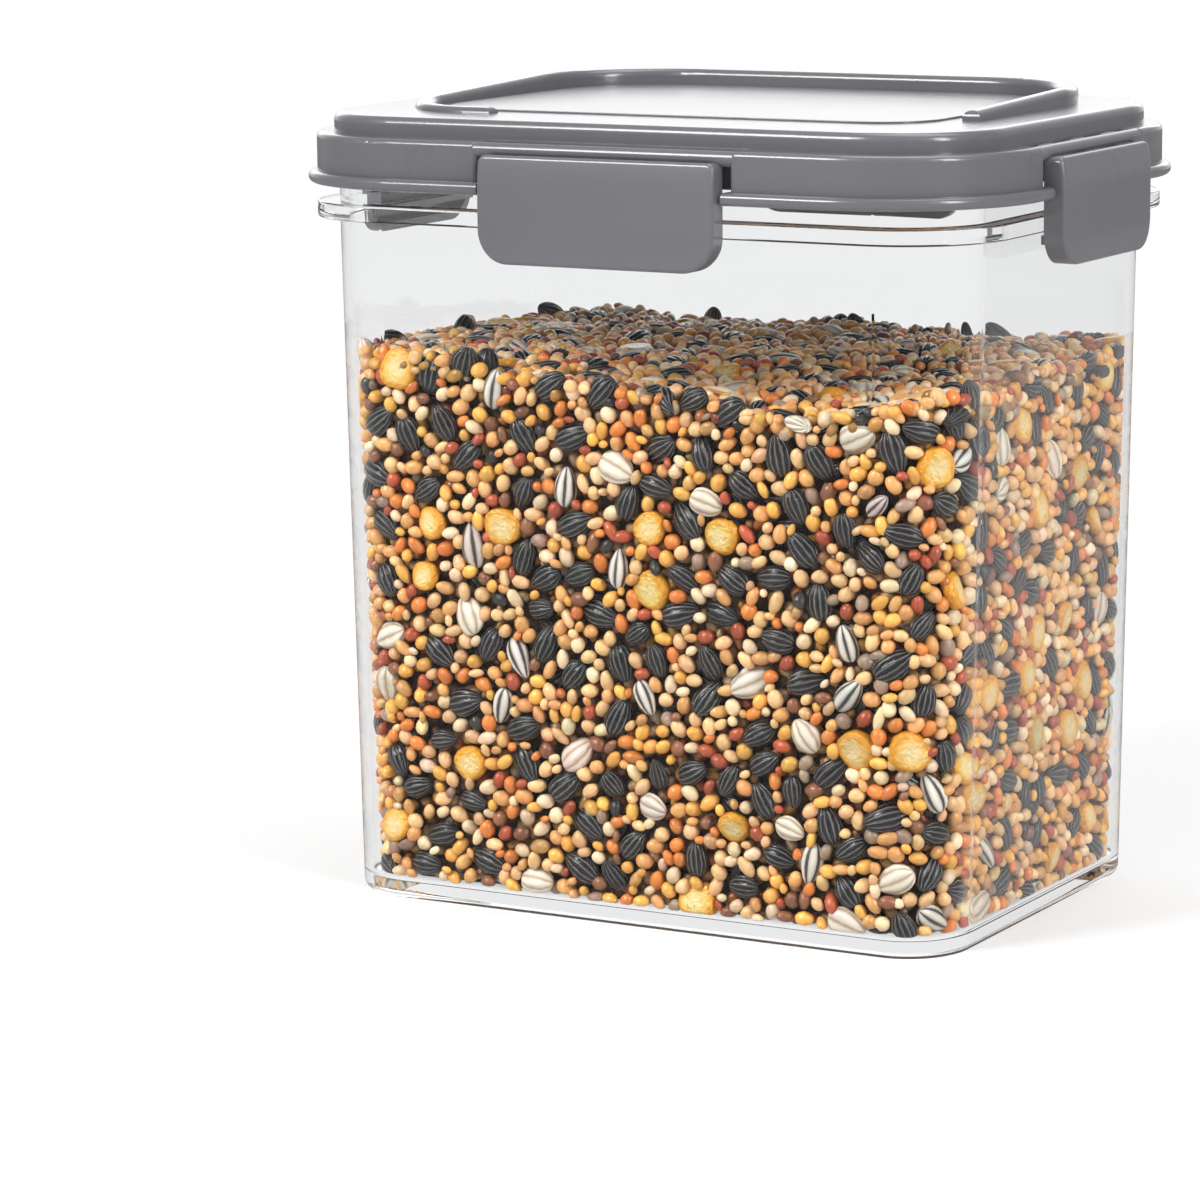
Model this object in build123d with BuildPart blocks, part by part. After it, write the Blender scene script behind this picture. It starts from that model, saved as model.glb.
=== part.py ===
from build123d import *
import math
import os

# Bird seed storage container: a clear tub, a sealed lid and the four latches that hold it.
# Millimetres, +Z up, origin at the centre of the tub's foot, front towards -Y.
# "Reach" is how far something stands out from the tub's wall at the collar.

# Tub
TUB_WIDTH = 190.0  # outside, under the collar, left to right
TUB_DEPTH = 136.5  # outside, under the collar, front to back
TUB_CORNER_R = 22.0
TUB_DRAFT = 1.06  # degrees that each wall leans outwards
TUB_WALL = 2.3
TUB_FLOOR = 4.5
TUB_FOOT_R = 3.0  # rounding under the foot
TUB_INNER_FOOT_R = 2.5
COLLAR_Z = 186.5  # underside of the collar, where the latches hook
COLLAR_HEIGHT = 4.4
COLLAR_REACH = 6.0
COLLAR_EDGE_R = 0.6
NECK_HEIGHT = 21.9  # from the underside of the collar to the rim that the seal sits on

# Seed inside the tub
SEED_CLEARANCE = 0.3
SEED_LEVEL_Z = 150.0

# Seal, in a groove under the lid's deck
SEAL_HEIGHT = 3.8
SEAL_GAP = 0.35  # between the seal and each side of its groove

# Lid
DECK_WALL = 2.4
DECK_RISE = 5.3  # from the ledge to the deck
DECK_REACH = 2.8
DECK_CORNER_R = 29.0
DECK_EDGE_R = 2.2
LEDGE_WALL = 2.2
LEDGE_EDGE_R = 1.5
SKIRT_HEIGHT = 13.7  # from the ledge to the underside of the bead
SKIRT_REACH = 9.0
SKIRT_WALL = 2.2
SKIRT_STRAIGHT = 7.4  # straight stretch between a side recess and the skirt's round corner
BEAD_HEIGHT = 3.3
BEAD_REACH = 11.4
BEAD_ROUNDING = 0.45  # its edges' radius, as a share of its height
BEAD_OVERLAP = 1.3  # how far the bead's ends stand into each latch's recess
INNER_WALL_LAP = 9.4  # how far the wall that hugs the neck comes down over it
NECK_CLEARANCE = 0.4  # between the neck's outside and that wall
PLUG_CLEARANCE = 0.8  # between the neck's inside and the lid's plug
PLUG_WALL = 1.8
PLUG_LAP = 6.4  # how far the plug reaches down inside the neck

# Raised rim on the deck, open at the front, with one arm longer than the other
RIM_SIDE_INSET = 15.3  # from the deck's side edges
RIM_BACK_INSET = 2.0  # from the deck's back edge
RIM_FRONT_INSET = 19.0  # from the deck's front edge
RIM_BACK_R = 38.0
RIM_FRONT_R = 26.0
RIM_THICKNESS = 5.0
RIM_HEIGHT = 4.6
RIM_END_HEIGHT = 1.5  # at the very front, where the long arm stops
RIM_TAPER_LENGTH = 85.0  # over which the arms run down
RIM_EDGE_R = 2.0
LONG_ARM_RUN = 48.0  # from the rim's middle to the left arm's end
SHORT_ARM_STOP = 28.0  # from the rim's front to the right arm's end
PANEL_GAP = 4.5  # from the rim's inside to the low panel that it frames
PANEL_HEIGHT = 0.5

# Latches
LONG_LATCH_WIDTH = 69.5
SHORT_LATCH_WIDTH = 56.5
LATCH_TOP_DROP = 0.9  # from the hinge's axis to the top of the face
LATCH_FOOT_DROP = 8.3  # from the underside of the collar to the latch's foot
LATCH_REACH = 13.6  # outside of the face, at its middle
LATCH_FACE_WALL = 2.4
LATCH_RIM_WALL = 2.2  # side and foot walls of the tray-shaped latch
LATCH_RIM_DEPTH = 6.0  # from the outside of the face to the rim's edge
LATCH_TOP_LEAN = 1.3  # how far the top of the face curls in
LATCH_TOP_CURVE = 8.9  # height of that curl
LATCH_FOOT_FLARE = 1.0  # how far the foot of the face flares out
LATCH_FOOT_CURVE = 9.3  # height of that flare
LATCH_TOP_R = 2.0
LATCH_FOOT_R = 9.0
LATCH_EDGE_R = 1.1
RECESS_GAP = 2.6  # between a latch and each cheek of its recess
RECESS_EDGE_R = 1.4
CHEEK_WALL = 2.2
BAR_R = 2.0
BAR_CLEARANCE = 0.06
KNUCKLE_WALL = 1.3
KNUCKLE_LENGTH = 9.0
KNUCKLE_SPACING = 20.0
KNUCKLE_COUNT = 3
KNUCKLE_OPEN_FROM = -30.0  # degrees, from straight out towards up
KNUCKLE_OPEN_TO = 150.0
SHELF_WALL = 1.4
SHELF_GAP = 0.35  # between the shelf and the bar's bore
HOOK_CLEARANCE = 0.4
HOOK_HEIGHT = 2.4

# Worked out from the values above
NECK_TOP_Z = COLLAR_Z + NECK_HEIGHT
DECK_UNDERSIDE_Z = NECK_TOP_Z + SEAL_HEIGHT
DECK_Z = DECK_UNDERSIDE_Z + DECK_WALL
LEDGE_Z = DECK_Z - DECK_RISE
BEAD_Z = LEDGE_Z - SKIRT_HEIGHT
INNER_WALL_Z = NECK_TOP_Z - INNER_WALL_LAP
PLUG_Z = NECK_TOP_Z - PLUG_LAP
SKIRT_SIDE = TUB_DEPTH / 2 + SKIRT_REACH  # half of the skirt's side wall
SKIRT_CORNER_R = SKIRT_SIDE - SHORT_LATCH_WIDTH / 2 - RECESS_GAP - SKIRT_STRAIGHT
RIM_WIDTH = TUB_WIDTH + 2 * (DECK_REACH - RIM_SIDE_INSET)
RIM_BACK_Y = TUB_DEPTH / 2 + DECK_REACH - RIM_BACK_INSET
RIM_FRONT_Y = -TUB_DEPTH / 2 - DECK_REACH + RIM_FRONT_INSET
BAR_REACH = SKIRT_REACH - BAR_R
BAR_Z = LEDGE_Z - BAR_R
BORE_R = BAR_R + BAR_CLEARANCE
KNUCKLE_R = BORE_R + KNUCKLE_WALL
LATCH_TOP_Z = BAR_Z - LATCH_TOP_DROP
LATCH_FOOT_Z = COLLAR_Z - LATCH_FOOT_DROP
CUT = 1.0  # how far a cutting solid runs past the face that it opens
FAR = 40.0  # a length that is past everything on one side of the lid
TOUCH = 0.01  # lengths that differ by less than this are the same
FACING = 0.5  # least cosine between a direction and the normal of a face that faces it

os.makedirs("parts", exist_ok=True)


def rounded_plan(reach, corner_r, z):
    """A rounded rectangle that stands out from the tub's wall by reach, at height z."""
    with BuildSketch(Plane.XY.offset(z)) as plan:
        RectangleRounded(TUB_WIDTH + 2 * reach, TUB_DEPTH + 2 * reach, corner_r)
    return plan.sketch


def ring(outer_reach, inner_reach, z_from, z_to):
    """A wall that follows the tub's outline, between two reaches and two heights."""
    with BuildPart() as wall:
        outer = rounded_plan(outer_reach, TUB_CORNER_R + outer_reach, z_from)
        inner = rounded_plan(inner_reach, TUB_CORNER_R + inner_reach, z_from)
        extrude(outer, amount=z_to - z_from)
        extrude(inner, amount=z_to - z_from, mode=Mode.SUBTRACT)
    return wall.part


def tub_core(wall, floor, top_z, foot_r):
    """The tapered inside of the tub, a wall's thickness in, up to top_z."""
    inset = wall + (COLLAR_Z - top_z) * math.tan(math.radians(TUB_DRAFT))
    with BuildPart() as core:
        top = rounded_plan(-inset, TUB_CORNER_R - inset, top_z)
        extrude(top, amount=floor - top_z, taper=TUB_DRAFT)
        fillet(core.faces().sort_by(Axis.Z)[0].edges(), foot_r)
    return core.part


def save(part, node):
    part.label = node
    export_step(part, f"parts/{node}.step")


def collar():
    """The flange round the tub that the latches hook under, as a filled plate."""
    with BuildPart() as plate:
        collar_r = TUB_CORNER_R + COLLAR_REACH
        extrude(rounded_plan(COLLAR_REACH, collar_r, COLLAR_Z), amount=COLLAR_HEIGHT)
        fillet(plate.edges().filter_by(Axis.Z, reverse=True), COLLAR_EDGE_R)
    return plate.part


# Tub, with its collar and neck
with BuildPart() as container_body:
    extrude(rounded_plan(0, TUB_CORNER_R, COLLAR_Z), amount=-COLLAR_Z, taper=TUB_DRAFT)
    fillet(container_body.faces().sort_by(Axis.Z)[0].edges(), TUB_FOOT_R)
    extrude(rounded_plan(0, TUB_CORNER_R, COLLAR_Z), amount=NECK_TOP_Z - COLLAR_Z)
    add(collar())
    add(tub_core(TUB_WALL, TUB_FLOOR, COLLAR_Z, TUB_INNER_FOOT_R), mode=Mode.SUBTRACT)
    neck_inside = rounded_plan(-TUB_WALL, TUB_CORNER_R - TUB_WALL, COLLAR_Z)
    extrude(neck_inside, amount=NECK_TOP_Z - COLLAR_Z, mode=Mode.SUBTRACT)

# Seed, as one settled mass on the tub's floor
with BuildPart() as seed_fill:
    add(tub_core(TUB_WALL + SEED_CLEARANCE, TUB_FLOOR, SEED_LEVEL_Z, TUB_INNER_FOOT_R))


def wall_plane(angle, distance):
    """The tub's wall as a plane: x runs along it, y up, z out. Angle 0 is the front."""
    along = Vector(1, 0, 0).rotate(Axis.Z, angle)
    outward = Vector(0, -1, 0).rotate(Axis.Z, angle)
    return Plane(origin=outward * distance, x_dir=along, z_dir=outward)


def section_plane(wall, offset=0.0):
    """A plane square to the wall: x runs out from it, y up."""
    origin = wall.origin + wall.x_dir * offset
    return Plane(origin=origin, x_dir=wall.z_dir, z_dir=-wall.x_dir)


SIDES = {
    "front": (wall_plane(0, TUB_DEPTH / 2), LONG_LATCH_WIDTH),
    "back": (wall_plane(180, TUB_DEPTH / 2), LONG_LATCH_WIDTH),
    "left": (wall_plane(-90, TUB_WIDTH / 2), SHORT_LATCH_WIDTH),
    "right": (wall_plane(90, TUB_WIDTH / 2), SHORT_LATCH_WIDTH),
}


def block(wall, width, reach_from, reach_to, z_from, z_to):
    """A plain block in front of a wall, centred along it."""
    with BuildPart() as solid:
        with BuildSketch(wall.offset(reach_from)):
            with Locations((0, (z_from + z_to) / 2)):
                Rectangle(width, z_to - z_from)
        extrude(amount=reach_to - reach_from)
    return solid.part


def bar(wall, length, radius):
    """A round bar on the hinge's axis."""
    with BuildPart() as rod:
        with BuildSketch(section_plane(wall)):
            with Locations((BAR_REACH, BAR_Z)):
                Circle(radius)
        extrude(amount=length / 2, both=True)
    return rod.part


def recess_width(latch_width):
    return latch_width + 2 * RECESS_GAP


def skirt():
    """The lid's ledge and skirt, open under each latch, with rounded recess corners."""
    with BuildPart() as shell:
        extrude(rounded_plan(SKIRT_REACH, SKIRT_CORNER_R, BEAD_Z), amount=LEDGE_Z - BEAD_Z)
        fillet(shell.faces().sort_by(Axis.Z)[-1].edges(), LEDGE_EDGE_R)
        for wall, latch_width in SIDES.values():
            width = recess_width(latch_width)
            opening = (DECK_REACH, SKIRT_REACH + CUT, BEAD_Z - CUT, LEDGE_Z + CUT)
            add(block(wall, width, *opening), mode=Mode.SUBTRACT)
            corners = shell.edges().filter_by(Axis.Z)
            corners = [e for e in corners if abs(reach_of(e, wall) - SKIRT_REACH) < TOUCH]
            corners = [e for e in corners if abs(along_of(e, wall)) < width / 2 + TOUCH]
            fillet(corners, RECESS_EDGE_R)
        inside = rounded_plan(SKIRT_REACH - SKIRT_WALL, SKIRT_CORNER_R - SKIRT_WALL, BEAD_Z)
        extrude(inside, amount=LEDGE_Z - LEDGE_WALL - BEAD_Z, mode=Mode.SUBTRACT)
    return shell.part


def reach_of(edge, wall):
    return wall.to_local_coords(edge.center()).Z


def along_of(edge, wall):
    return wall.to_local_coords(edge.center()).X


def bead():
    """The rounded bead along the skirt's foot, in four lengths between the latches."""
    inner_r = SKIRT_CORNER_R - SKIRT_WALL
    with BuildPart() as ring_of_beads:
        bead_r = SKIRT_CORNER_R + BEAD_REACH - SKIRT_REACH
        extrude(rounded_plan(BEAD_REACH, bead_r, BEAD_Z), amount=BEAD_HEIGHT)
        fillet(ring_of_beads.edges().filter_by(Plane.XY), BEAD_HEIGHT * BEAD_ROUNDING)
        inside = rounded_plan(SKIRT_REACH - SKIRT_WALL, inner_r, BEAD_Z)
        extrude(inside, amount=BEAD_HEIGHT, mode=Mode.SUBTRACT)
        for wall, latch_width in SIDES.values():
            width = recess_width(latch_width) - 2 * BEAD_OVERLAP
            opening = (DECK_REACH, BEAD_REACH + CUT, BEAD_Z - CUT, LEDGE_Z)
            add(block(wall, width, *opening), mode=Mode.SUBTRACT)
    return ring_of_beads.part


def rim_outline(inset):
    """The raised rim's outline, moved in by inset."""
    with BuildSketch() as outline:
        with Locations((0, (RIM_BACK_Y + RIM_FRONT_Y) / 2)):
            Rectangle(RIM_WIDTH - 2 * inset, RIM_BACK_Y - RIM_FRONT_Y - 2 * inset)
        fillet(outline.vertices().group_by(Axis.Y)[-1], RIM_BACK_R - inset)
        fillet(outline.vertices().group_by(Axis.Y)[0], RIM_FRONT_R - inset)
    return outline.sketch


def raised_rim():
    """The curved rim on the deck: a ring cut open at the front, with sloping arms."""
    base_z = DECK_Z - DECK_WALL / 2
    top_z = DECK_Z + RIM_HEIGHT
    end_z = DECK_Z + RIM_END_HEIGHT
    with BuildPart() as rim:
        with BuildSketch(Plane.XY.offset(base_z)):
            add(rim_outline(0))
            add(rim_outline(RIM_THICKNESS), mode=Mode.SUBTRACT)
            with Locations((-LONG_ARM_RUN, RIM_FRONT_Y - CUT)):
                Rectangle(
                    RIM_WIDTH,
                    SHORT_ARM_STOP + CUT,
                    align=(Align.MIN, Align.MIN),
                    mode=Mode.SUBTRACT,
                )
        extrude(amount=top_z - base_z)
        with BuildSketch(Plane.YZ):
            with BuildLine():
                Polyline(
                    (RIM_FRONT_Y, end_z),
                    (RIM_FRONT_Y + RIM_TAPER_LENGTH, top_z),
                    (RIM_FRONT_Y + RIM_TAPER_LENGTH, top_z + FAR),
                    (RIM_FRONT_Y - CUT, top_z + FAR),
                    (RIM_FRONT_Y - CUT, end_z),
                    close=True,
                )
            make_face()
        extrude(amount=RIM_WIDTH, both=True, mode=Mode.SUBTRACT)
        tops = rim.faces().filter_by(lambda f: f.normal_at().Z > FACING)
        fillet(outer_edges(tops), RIM_EDGE_R)
    return rim.part


def outer_edges(faces):
    """The edges round a group of faces, without those between them."""
    edges = faces.edges()
    return [e for e in edges if sum(e.is_same(other) for other in edges) == 1]


def deck():
    """The lid's raised deck, filled down to the foot of the wall that hugs the neck."""
    with BuildPart() as top:
        plan = rounded_plan(DECK_REACH, DECK_CORNER_R, INNER_WALL_Z)
        extrude(plan, amount=DECK_Z - INNER_WALL_Z)
        fillet(top.faces().sort_by(Axis.Z)[-1].edges(), DECK_EDGE_R)
    return top.part


def panel():
    """The low panel on the deck, inside the raised rim."""
    with BuildPart() as plate:
        with BuildSketch(Plane.XY.offset(DECK_Z - PANEL_HEIGHT)):
            add(rim_outline(RIM_THICKNESS + PANEL_GAP))
        extrude(amount=2 * PANEL_HEIGHT)
        fillet(plate.faces().sort_by(Axis.Z)[-1].edges(), PANEL_HEIGHT / 2)
    return plate.part


# Lid, with the four latch bars moulded into it
with BuildPart() as lid_cover:
    add(skirt())
    for wall, latch_width in SIDES.values():
        width = recess_width(latch_width)
        cheek = (BEAD_Z + BEAD_HEIGHT / 2, LEDGE_Z - LEDGE_WALL / 2)
        for end in (-1, 1):
            cheek_wall = wall.offset(0)
            cheek_wall.origin = wall.origin + wall.x_dir * end * (width + CHEEK_WALL) / 2
            reaches = (DECK_REACH / 2, SKIRT_REACH - RECESS_EDGE_R)
            add(block(cheek_wall, CHEEK_WALL, *reaches, *cheek))
        add(bar(wall, width + CHEEK_WALL, BAR_R))
    add(bead())
    add(deck())
    neck_room = rounded_plan(NECK_CLEARANCE, TUB_CORNER_R + NECK_CLEARANCE, BEAD_Z - CUT)
    extrude(neck_room, amount=DECK_UNDERSIDE_Z - BEAD_Z + CUT, mode=Mode.SUBTRACT)
    plug_reach = -TUB_WALL - PLUG_CLEARANCE
    plug_root_z = DECK_UNDERSIDE_Z + DECK_WALL / 2
    add(ring(plug_reach, plug_reach - PLUG_WALL, PLUG_Z, plug_root_z))
    add(raised_rim())
    add(panel())

# Seal, in the groove between the lid's inner wall and its plug
with BuildPart() as gasket:
    seal_outer = NECK_CLEARANCE - SEAL_GAP
    seal_inner = -TUB_WALL - PLUG_CLEARANCE + SEAL_GAP
    add(ring(seal_outer, seal_inner, NECK_TOP_Z, DECK_UNDERSIDE_Z))


def face_profile(shift, back_reach):
    """Section of the latch out to its face, moved in by shift: flat, with curved ends."""
    face = LATCH_REACH - shift
    top = (face - LATCH_TOP_LEAN, LATCH_TOP_Z + CUT)
    flat_top = (face, LATCH_TOP_Z - LATCH_TOP_CURVE)
    flat_foot = (face, LATCH_FOOT_Z + LATCH_FOOT_CURVE)
    foot = (face + LATCH_FOOT_FLARE, LATCH_FOOT_Z - CUT)
    with BuildLine() as profile:
        Line(flat_foot, flat_top)
        TangentArc(flat_top, top, tangent=(0, 1))
        TangentArc(flat_foot, foot, tangent=(0, -1))
        Polyline(foot, (back_reach, foot[1]), (back_reach, top[1]), top)
    return make_face(profile.edges())


def bowed_block(wall, width, inset, shift, back_reach):
    """The latch's outline, inset at its sides and foot, from back_reach to its face."""
    foot_z = LATCH_FOOT_Z + inset
    with BuildPart() as solid:
        with BuildSketch(section_plane(wall)):
            add(face_profile(shift, back_reach))
        extrude(amount=width, both=True)
        with BuildSketch(wall) as front_view:
            with Locations((0, (LATCH_TOP_Z + foot_z) / 2)):
                Rectangle(width - 2 * inset, LATCH_TOP_Z - foot_z)
            fillet(front_view.vertices().group_by(Axis.Y)[0], LATCH_FOOT_R - inset)
            if inset == 0:
                fillet(front_view.vertices().group_by(Axis.Y)[-1], LATCH_TOP_R)
        extrude(amount=FAR, mode=Mode.INTERSECT)
    return solid.part


def latch(wall, width):
    """A tray-shaped flap, open at the back, with knuckles round the bar and a hook."""
    face_reach = LATCH_REACH - LATCH_FACE_WALL / 2
    inside_width = width - 2 * LATCH_RIM_WALL
    back_reach = LATCH_REACH - LATCH_RIM_DEPTH
    shelf_top_z = BAR_Z - BORE_R - SHELF_GAP
    hook_top_z = COLLAR_Z - HOOK_CLEARANCE
    hook_reach = COLLAR_REACH + HOOK_CLEARANCE
    with BuildPart() as flap:
        add(bowed_block(wall, width, 0, 0, back_reach))
        face = flap.faces().filter_by(lambda f: f.normal_at().dot(wall.z_dir) > FACING)
        fillet(outer_edges(face), LATCH_EDGE_R)
        hollow = bowed_block(wall, width, LATCH_RIM_WALL, LATCH_FACE_WALL, back_reach - CUT)
        add(hollow, mode=Mode.SUBTRACT)
        shelf_z = (shelf_top_z - SHELF_WALL, shelf_top_z)
        add(block(wall, inside_width + LATCH_RIM_WALL, BAR_REACH, face_reach, *shelf_z))
        hook_z = (hook_top_z - HOOK_HEIGHT, hook_top_z)
        add(block(wall, inside_width + LATCH_RIM_WALL, hook_reach, face_reach, *hook_z))
        first = -KNUCKLE_SPACING * (KNUCKLE_COUNT - 1) / 2
        for number in range(KNUCKLE_COUNT):
            add(knuckle(wall, first + number * KNUCKLE_SPACING))
        add(bar(wall, width + CUT, BORE_R), mode=Mode.SUBTRACT)
    return flap.part


def knuckle(wall, offset):
    """A hook-shaped knuckle that wraps the bar from below and behind."""
    way_out = [
        (2 * KNUCKLE_R * math.cos(math.radians(a)), 2 * KNUCKLE_R * math.sin(math.radians(a)))
        for a in (KNUCKLE_OPEN_FROM, (KNUCKLE_OPEN_FROM + KNUCKLE_OPEN_TO) / 2, KNUCKLE_OPEN_TO)
    ]
    with BuildPart() as eye:
        with BuildSketch(section_plane(wall, offset)):
            with Locations((BAR_REACH, BAR_Z)):
                Circle(KNUCKLE_R)
                Polygon((0, 0), *way_out, align=None, mode=Mode.SUBTRACT)
        extrude(amount=KNUCKLE_LENGTH / 2, both=True)
    return eye.part


save(container_body.part, "container_body")
save(seed_fill.part, "seed_fill")
save(lid_cover.part, "lid_cover")
save(gasket.part, "gasket")
for side, (wall, latch_width) in SIDES.items():
    save(latch(wall, latch_width), f"latch_{side}")
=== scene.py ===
# %% [markdown]
# A tub of bird seed, dressed for its photograph
#
# The object is a clear plastic tub with a grey lid, four latches and a fill of mixed seed.
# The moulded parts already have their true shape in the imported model, so they only need a
# finish. The seed is a plain block there, and here it becomes thousands of separate seeds
# that lie against the walls.
#
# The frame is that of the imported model: X runs along the front, the front faces -Y, and Z
# is up, with the origin under the middle of the foot. Blender works in metres.

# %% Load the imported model
import bpy
import math
import numpy as np
from mathutils import Matrix, Vector


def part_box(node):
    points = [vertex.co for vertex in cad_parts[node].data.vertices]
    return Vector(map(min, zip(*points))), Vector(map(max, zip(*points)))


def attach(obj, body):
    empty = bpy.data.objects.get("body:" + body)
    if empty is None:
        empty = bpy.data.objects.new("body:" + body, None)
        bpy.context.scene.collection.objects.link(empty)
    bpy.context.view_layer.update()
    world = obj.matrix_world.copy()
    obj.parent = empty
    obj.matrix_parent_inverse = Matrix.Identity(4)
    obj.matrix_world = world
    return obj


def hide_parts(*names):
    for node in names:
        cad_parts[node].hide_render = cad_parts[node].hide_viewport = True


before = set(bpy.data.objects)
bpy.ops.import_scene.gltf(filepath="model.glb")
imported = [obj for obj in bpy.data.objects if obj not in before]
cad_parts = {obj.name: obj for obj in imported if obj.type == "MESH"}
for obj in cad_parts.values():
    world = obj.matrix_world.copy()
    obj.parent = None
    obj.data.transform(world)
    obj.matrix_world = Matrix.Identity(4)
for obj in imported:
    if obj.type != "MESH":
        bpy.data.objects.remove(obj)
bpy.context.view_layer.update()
MM = 0.001

# %% [markdown]
# The camera comes first, because every later choice is judged through it. Its place was
# found by matching the tub's edges in the photograph: a long lens about 1.3 metres away,
# turned about 29 degrees round the front-right corner and looking down about 10 degrees.
# The three axes of the view are worked out from those angles.

# %% Camera
CAMERA_YAW = math.radians(29.38)
CAMERA_PITCH = math.radians(10.13)
CAMERA_ROLL = math.radians(-0.53)
CAMERA_PLACE = Vector((0.60562, -1.15521, 0.31196))
FOCAL_PIXELS = 4806.15
FRAME_PIXELS = 1200
SENSOR_MM = 36.0


def add_camera():
    back = Vector((
        math.sin(CAMERA_YAW) * math.cos(CAMERA_PITCH),
        -math.cos(CAMERA_YAW) * math.cos(CAMERA_PITCH),
        math.sin(CAMERA_PITCH),
    ))
    level_right = Vector((math.cos(CAMERA_YAW), math.sin(CAMERA_YAW), 0))
    level_up = back.cross(level_right)
    right = math.cos(CAMERA_ROLL) * level_right + math.sin(CAMERA_ROLL) * level_up
    up = back.cross(right)
    turn = Matrix((right, up, back)).transposed().to_4x4()
    data = bpy.data.cameras.new("camera")
    data.sensor_width = SENSOR_MM
    data.lens = FOCAL_PIXELS / FRAME_PIXELS * SENSOR_MM
    camera = bpy.data.objects.new("camera", data)
    camera.matrix_world = Matrix.Translation(CAMERA_PLACE) @ turn
    bpy.context.collection.objects.link(camera)
    bpy.context.scene.camera = camera
    print("lens", round(data.lens, 1), "mm")


add_camera()

# %% [markdown]
# Materials are small node trees, so a few helpers keep each recipe short. `recipe` makes
# a material and hands back its main shader, and `node` adds one node and wires it up.

# %% Helpers for materials


def recipe(name, **sockets):
    """A material with a Principled shader whose sockets are set to plain values."""
    material = bpy.data.materials.new(name)
    material.use_nodes = True
    shader = material.node_tree.nodes["Principled BSDF"]
    for socket, value in sockets.items():
        shader.inputs[socket.replace("_", " ")].default_value = value
    return material, shader


def add_node(tree, kind, inputs=None, **settings):
    """One node, with its settings, and with its inputs set to values or joined to outputs."""
    made = tree.nodes.new(kind)
    for setting, value in settings.items():
        setattr(made, setting, value)
    for socket, value in (inputs or {}).items():
        if isinstance(value, bpy.types.NodeSocket):
            tree.links.new(value, made.inputs[socket])
        else:
            made.inputs[socket].default_value = value
    return made


def node(material, kind, inputs=None, **settings):
    return add_node(material.node_tree, kind, inputs, **settings)


def join(material, output, socket):
    material.node_tree.links.new(output, socket)


def maths(material, operation, first, second=0.0):
    made = node(material, "ShaderNodeMath", {0: first, 1: second}, operation=operation)
    return made.outputs[0]


def ramp(material, value, stops):
    """A colour ramp through (place, colour) stops."""
    made = node(material, "ShaderNodeValToRGB", {"Fac": value})
    elements = made.color_ramp.elements
    while len(elements) < len(stops):
        elements.new(0.5)
    for element, (place, colour) in zip(elements, stops):
        element.position = place
        element.color = (*colour, 1.0)
    return made.outputs["Color"]


def remap(material, value, low, high):
    """Stretches a value from 0..1 to low..high."""
    made = node(material, "ShaderNodeMapRange", {"Value": value, "To Min": low, "To Max": high})
    return made.outputs["Result"]


def place_on(material):
    """Where a point is on the object, in metres."""
    return node(material, "ShaderNodeTexCoord").outputs["Object"]


def length_of(material, vector):
    made = node(material, "ShaderNodeVectorMath", {0: vector}, operation="LENGTH")
    return made.outputs["Value"]


def noise(material, place, scale, detail=2.0):
    made = node(material, "ShaderNodeTexNoise", {"Vector": place, "Scale": scale, "Detail": detail})
    return made.outputs["Fac"]


def emboss(material, shader, height, strength, distance):
    """Bumps the shader's surface by a height."""
    sockets = {"Height": height, "Strength": strength, "Distance": distance}
    made = node(material, "ShaderNodeBump", sockets)
    join(material, made.outputs["Normal"], shader.inputs["Normal"])


def blend(material, share, first, second):
    """Shows the first shader where the share is 0, and the second one where it is 1."""
    mix = node(material, "ShaderNodeMixShader", {"Fac": share, 1: first, 2: second})
    surface = material.node_tree.nodes["Material Output"].inputs["Surface"]
    join(material, mix.outputs[0], surface)


def dress(node_name, material):
    """Gives a CAD node its finish."""
    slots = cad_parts[node_name].data.materials
    slots.clear()
    slots.append(material)


print("nodes in the packed model:", len(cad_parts))

# %% [markdown]
# The photograph was taken on white, in the even light of a studio. Clear plastic is only
# seen by what it bends and mirrors, so the room matters: it is white behind the tub and
# darker on the camera's side, and that difference draws the tub's dark and bright edges.
# The camera itself sees plain white everywhere.
#
# Some light is mirrored again and again inside the thick foot. A renderer gives up on it
# at last and leaves a black spot, so such light is let out after two mirrorings and finds
# the same room as light that came straight through.

# %% World
BACKDROP_SIDE = (-0.49, 0.87, 0.0)  # the way from the object to the backdrop
ROOM_LIGHT = 0.5  # on everything that is dull
ROOM_DARK = 0.22  # away from the backdrop, as glossy surfaces mirror it
ROOM_BENT = 0.3  # and as clear plastic shows it
WHITE_FROM = 0.93  # the backdrop is white where the way there is this near to its middle
WHITE_FADE = 0.35  # and fades over this much
MOST_MIRRORINGS = 1.5  # between one mirroring, which is usual, and two


def plain_light(tree, strength):
    """White light of a strength, which is a value or an output."""
    sockets = {"Color": (1, 1, 1, 1), "Strength": strength}
    return add_node(tree, "ShaderNodeBackground", sockets).outputs[0]


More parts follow.
